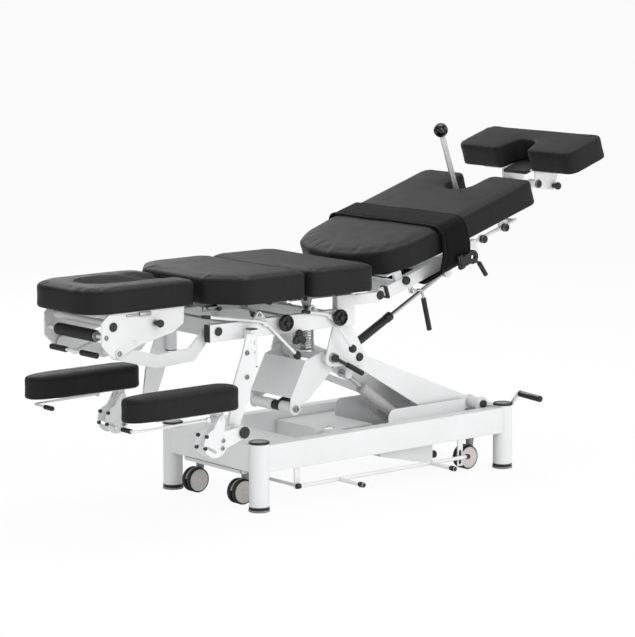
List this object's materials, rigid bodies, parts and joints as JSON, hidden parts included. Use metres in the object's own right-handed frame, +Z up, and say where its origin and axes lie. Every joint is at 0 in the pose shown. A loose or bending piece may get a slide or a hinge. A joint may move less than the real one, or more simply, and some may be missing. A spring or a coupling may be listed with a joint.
{
  "type": "chiropractic table",
  "caption": "Height-adjustable treatment table with drop cushions, a flexing leg section, a tilting head piece, armrests and retractable castors.",
  "frame": {"origin": "middle of the table's footprint, on the floor", "axes": "+X along the table towards the foot end, +Y across it, +Z up"},
  "size_m": [2.3176, 0.832, 1.2819],
  "materials": {
    "white_powder_coat": "satin white powder coat",
    "black_plastic": "black moulded plastic",
    "grey_plastic": "grey moulded plastic",
    "steel": "plain turned steel",
    "leatherette": "charcoal upholstery cover",
    "strap_web": "black webbing",
    "black_paint": "black powder coat"
  },
  "bodies": {
    "base": {"base_frame": "white_powder_coat", "base_tray": "white_powder_coat", "base_caps": "black_plastic", "levelling_feet": "grey_plastic"},
    "castor_bar_head": {"castor_bar_head": "white_powder_coat"},
    "castor_bar_foot": {"castor_bar_foot": "white_powder_coat"},
    "castor_fork_1": {"castor_fork_1": "black_plastic"},
    "castor_fork_2": {"castor_fork_2": "black_plastic"},
    "castor_fork_3": {"castor_fork_3": "black_plastic"},
    "castor_fork_4": {"castor_fork_4": "black_plastic"},
    "castor_wheel_1": {"castor_wheel_1": "grey_plastic"},
    "castor_wheel_2": {"castor_wheel_2": "grey_plastic"},
    "castor_wheel_3": {"castor_wheel_3": "grey_plastic"},
    "castor_wheel_4": {"castor_wheel_4": "grey_plastic"},
    "pedal": {"castor_pedal": "white_powder_coat"},
    "switch_bar": {"foot_switch_bar": "white_powder_coat"},
    "lift_arm": {"lift_arm": "white_powder_coat"},
    "levelling_link": {"levelling_link": "white_powder_coat"},
    "actuator_housing": {"lift_actuator": "black_paint"},
    "actuator_rod": {"actuator_rod": "steel"},
    "deck": {"deck_frame": "white_powder_coat", "pedestal": "white_powder_coat", "strut_housing": "white_powder_coat", "deck_caps": "black_plastic", "drop_spring": "steel", "armrest_hangers": "white_powder_coat"},
    "lock_lever": {"lock_lever": "white_powder_coat"},
    "clamp_knob": {"clamp_knob": "black_plastic"},
    "thoracic_section": {"thoracic_plate": "black_paint", "thoracic_cushion": "leatherette"},
    "thoracic_wheel": {"thoracic_wheel": "black_plastic"},
    "thoracic_lever": {"thoracic_lever": "steel"},
    "lumbar_section": {"lumbar_plate": "black_paint", "lumbar_cushion": "leatherette"},
    "lumbar_wheel": {"lumbar_wheel": "black_plastic"},
    "lumbar_lever": {"lumbar_lever": "steel"},
    "head_yoke": {"head_yoke": "white_powder_coat"},
    "head_section": {"head_frame": "white_powder_coat", "head_cushion": "leatherette"},
    "foam_roller": {"foam_roller": "black_plastic"},
    "head_handle": {"head_handle": "steel"},
    "head_knob": {"head_knob": "black_plastic"},
    "arm_bracket_near": {"arm_bracket_near": "white_powder_coat"},
    "arm_pad_near": {"arm_pad_near": "leatherette"},
    "arm_lever_near": {"arm_lever_near": "steel"},
    "arm_bracket_far": {"arm_bracket_far": "white_powder_coat"},
    "arm_pad_far": {"arm_pad_far": "leatherette"},
    "arm_lever_far": {"arm_lever_far": "steel"},
    "leg_section": {"leg_frame": "white_powder_coat", "leg_cushion": "leatherette", "leg_strap": "strap_web", "strap_ratchet": "black_plastic"},
    "strut_tube": {"strut_tube": "black_paint"},
    "strut_rod": {"strut_rod": "steel"},
    "release_handle": {"release_handle": "steel"},
    "ball_lever": {"ball_lever": "steel"},
    "foot_slide": {"foot_slide": "white_powder_coat"},
    "foot_section": {"foot_bracket": "white_powder_coat", "foot_cushion": "leatherette"},
    "foot_knob": {"foot_knob": "black_plastic"}
  },
  "joints": [
    {"name": "lift", "type": "hinge", "parent": "base", "child": "lift_arm", "pos_m": [0.609, 0, 0.243], "axis": [0, 1, 0], "range_deg": [-17, 0]},
    {"name": "deck_level", "type": "hinge", "parent": "lift_arm", "child": "deck", "pos_m": [0.04201, 0, 0.47496], "axis": [0, 1, 0], "range_deg": [0, 17]},
    {"name": "levelling_link", "type": "hinge", "parent": "base", "child": "levelling_link", "pos_m": [0.539, 0.095, 0.183], "axis": [0, 1, 0], "range_deg": [-17, 0]},
    {"name": "actuator_housing", "type": "hinge", "parent": "base", "child": "actuator_housing", "pos_m": [0.348, -0.09, 0.17], "axis": [0, 1, 0], "range_deg": [-26.2, 0]},
    {"name": "actuator_rod", "type": "hinge", "parent": "lift_arm", "child": "actuator_rod", "pos_m": [0.03001, -0.09, 0.40696], "axis": [0, 1, 0], "range_deg": [-9.2, 0]},
    {"name": "pedal", "type": "hinge", "parent": "base", "child": "pedal", "pos_m": [0.718, -0.18, 0.156], "axis": [1, 0, 0], "range_deg": [0, 35]},
    {"name": "castor_bar_head", "type": "slide", "parent": "base", "child": "castor_bar_head", "axis": [0, 0, 1], "range_m": [-0.01, 0]},
    {"name": "castor_bar_foot", "type": "slide", "parent": "base", "child": "castor_bar_foot", "axis": [0, 0, 1], "range_m": [-0.01, 0]},
    {"name": "castor_swivel_1", "type": "hinge", "parent": "castor_bar_head", "child": "castor_fork_1", "pos_m": [-0.462, -0.13, 0.12], "axis": [0, 0, 1], "continuous": true},
    {"name": "castor_roll_1", "type": "hinge", "parent": "castor_fork_1", "child": "castor_wheel_1", "pos_m": [-0.484, -0.13, 0.05], "axis": [0, 1, 0], "continuous": true},
    {"name": "castor_swivel_2", "type": "hinge", "parent": "castor_bar_head", "child": "castor_fork_2", "pos_m": [-0.462, 0.13, 0.12], "axis": [0, 0, 1], "continuous": true},
    {"name": "castor_roll_2", "type": "hinge", "parent": "castor_fork_2", "child": "castor_wheel_2", "pos_m": [-0.484, 0.13, 0.05], "axis": [0, 1, 0], "continuous": true},
    {"name": "castor_swivel_3", "type": "hinge", "parent": "castor_bar_foot", "child": "castor_fork_3", "pos_m": [0.558, -0.19, 0.12], "axis": [0, 0, 1], "continuous": true},
    {"name": "castor_roll_3", "type": "hinge", "parent": "castor_fork_3", "child": "castor_wheel_3", "pos_m": [0.536, -0.19, 0.05], "axis": [0, 1, 0], "continuous": true},
    {"name": "castor_swivel_4", "type": "hinge", "parent": "castor_bar_foot", "child": "castor_fork_4", "pos_m": [0.558, 0.19, 0.12], "axis": [0, 0, 1], "continuous": true},
    {"name": "castor_roll_4", "type": "hinge", "parent": "castor_fork_4", "child": "castor_wheel_4", "pos_m": [0.536, 0.19, 0.05], "axis": [0, 1, 0], "continuous": true},
    {"name": "switch_bar", "type": "hinge", "parent": "base", "child": "switch_bar", "pos_m": [-0.342, 0, 0.073], "axis": [0, 1, 0], "range_deg": [-1.5, 1.5], "stiffness_Nm_per_rad": 400},
    {"name": "lock_lever", "type": "hinge", "parent": "deck", "child": "lock_lever", "pos_m": [-0.08199, -0.16, 0.48496], "axis": [0, -1, 0], "range_deg": [0, 60]},
    {"name": "clamp_knob", "type": "hinge", "parent": "deck", "child": "clamp_knob", "pos_m": [-0.29699, -0.2, 0.58696], "axis": [0, 1, 0], "continuous": true},
    {"name": "thoracic_drop", "type": "hinge", "parent": "deck", "child": "thoracic_section", "pos_m": [-0.45199, 0, 0.67996], "axis": [0, 1, 0], "range_deg": [-2.5, 0]},
    {"name": "lumbar_drop", "type": "hinge", "parent": "deck", "child": "lumbar_section", "pos_m": [-0.21199, 0, 0.67996], "axis": [0, 1, 0], "range_deg": [0, 2.5]},
    {"name": "thoracic_wheel", "type": "hinge", "parent": "deck", "child": "thoracic_wheel", "pos_m": [-0.35599, -0.22, 0.64496], "axis": [0, 1, 0], "continuous": true},
    {"name": "lumbar_wheel", "type": "hinge", "parent": "deck", "child": "lumbar_wheel", "pos_m": [-0.10899, -0.22, 0.64096], "axis": [0, 1, 0], "continuous": true},
    {"name": "thoracic_lever", "type": "hinge", "parent": "deck", "child": "thoracic_lever", "pos_m": [-0.43599, -0.2, 0.64896], "axis": [0, 1, 0], "range_deg": [-7, 0]},
    {"name": "lumbar_lever", "type": "hinge", "parent": "deck", "child": "lumbar_lever", "pos_m": [-0.14399, -0.2, 0.64596], "axis": [0, 1, 0], "range_deg": [-7, 0]},
    {"name": "head_tilt", "type": "hinge", "parent": "deck", "child": "head_yoke", "pos_m": [-0.63699, 0, 0.64096], "axis": [0, 1, 0], "range_deg": [-25, 3]},
    {"name": "head_flex", "type": "hinge", "parent": "head_yoke", "child": "head_section", "pos_m": [-1.02999, 0, 0.60096], "axis": [0, 1, 0], "range_deg": [-20, 0]},
    {"name": "roller", "type": "hinge", "parent": "head_section", "child": "foam_roller", "pos_m": [-1.07999, 0, 0.65896], "axis": [0, 1, 0], "continuous": true},
    {"name": "head_handle", "type": "hinge", "parent": "head_section", "child": "head_handle", "pos_m": [-0.96399, 0, 0.63296], "axis": [0, 1, 0], "range_deg": [-15, 10]},
    {"name": "head_knob", "type": "hinge", "parent": "head_section", "child": "head_knob", "pos_m": [-0.87899, -0.172, 0.69196], "axis": [0, 1, 0], "continuous": true},
    {"name": "arm_swing_near", "type": "hinge", "parent": "deck", "child": "arm_bracket_near", "pos_m": [-0.61199, -0.286, 0.30296], "axis": [0, 1, 0], "range_deg": [-15, 0]},
    {"name": "arm_level_near", "type": "hinge", "parent": "arm_bracket_near", "child": "arm_pad_near", "pos_m": [-0.70499, -0.286, 0.35896], "axis": [0, 1, 0], "range_deg": [0, 15]},
    {"name": "arm_lever_near", "type": "hinge", "parent": "arm_pad_near", "child": "arm_lever_near", "pos_m": [-0.77299, -0.286, 0.36696], "axis": [0, 1, 0], "range_deg": [-8, 0]},
    {"name": "arm_swing_far", "type": "hinge", "parent": "deck", "child": "arm_bracket_far", "pos_m": [-0.61199, 0.286, 0.30296], "axis": [0, 1, 0], "range_deg": [-15, 0]},
    {"name": "arm_level_far", "type": "hinge", "parent": "arm_bracket_far", "child": "arm_pad_far", "pos_m": [-0.70499, 0.286, 0.35896], "axis": [0, 1, 0], "range_deg": [0, 15]},
    {"name": "arm_lever_far", "type": "hinge", "parent": "arm_pad_far", "child": "arm_lever_far", "pos_m": [-0.77299, 0.286, 0.36696], "axis": [0, 1, 0], "range_deg": [-8, 0]},
    {"name": "leg_flex", "type": "hinge", "parent": "deck", "child": "leg_section", "pos_m": [0.09801, 0, 0.69996], "axis": [0, -1, 0], "range_deg": [-22.5, 0]},
    {"name": "strut_tube", "type": "hinge", "parent": "deck", "child": "strut_tube", "pos_m": [-0.22199, -0.02, 0.30996], "axis": [0, -1, 0], "range_deg": [-10.8, 0]},
    {"name": "strut_rod", "type": "hinge", "parent": "leg_section", "child": "strut_rod", "pos_m": [0.57783, -0.02, 0.72123], "axis": [0, -1, 0], "range_deg": [0, 11.7]},
    {"name": "release_handle", "type": "hinge", "parent": "leg_section", "child": "release_handle", "pos_m": [0.2549, -0.211, 0.7012], "axis": [0, -1, 0], "range_deg": [0, 15]},
    {"name": "ball_lever", "type": "hinge", "parent": "leg_section", "child": "ball_lever", "pos_m": [0.70879, 0, 0.87786], "axis": [0, 1, 0], "range_deg": [0, 25]},
    {"name": "foot_slide", "type": "slide", "parent": "leg_section", "child": "foot_slide", "axis": [0.9537, 0, 0.3007], "range_m": [-0.1, 0.05]},
    {"name": "foot_tilt", "type": "hinge", "parent": "foot_slide", "child": "foot_section", "pos_m": [0.99724, 0, 1.03381], "axis": [0, -1, 0], "range_deg": [-20, 20]},
    {"name": "foot_knob", "type": "hinge", "parent": "foot_section", "child": "foot_knob", "pos_m": [1.077, -0.095, 1.02294], "axis": [0, 1, 0], "continuous": true}
  ],
  "couplings": [
    {"joint": "deck_level", "follows": "lift", "ratio": -1},
    {"joint": "levelling_link", "follows": "lift", "ratio": 1},
    {"joint": "actuator_housing", "follows": "lift", "ratio": 1.54},
    {"joint": "actuator_rod", "follows": "lift", "ratio": 0.54},
    {"joint": "castor_bar_head", "follows": "pedal", "m_per_rad": -0.016369},
    {"joint": "castor_bar_foot", "follows": "pedal", "m_per_rad": -0.016369},
    {"joint": "strut_tube", "follows": "leg_flex", "ratio": 0.48},
    {"joint": "strut_rod", "follows": "leg_flex", "ratio": -0.52},
    {"joint": "arm_level_near", "follows": "arm_swing_near", "ratio": -1},
    {"joint": "arm_level_far", "follows": "arm_swing_far", "ratio": -1}
  ]
}
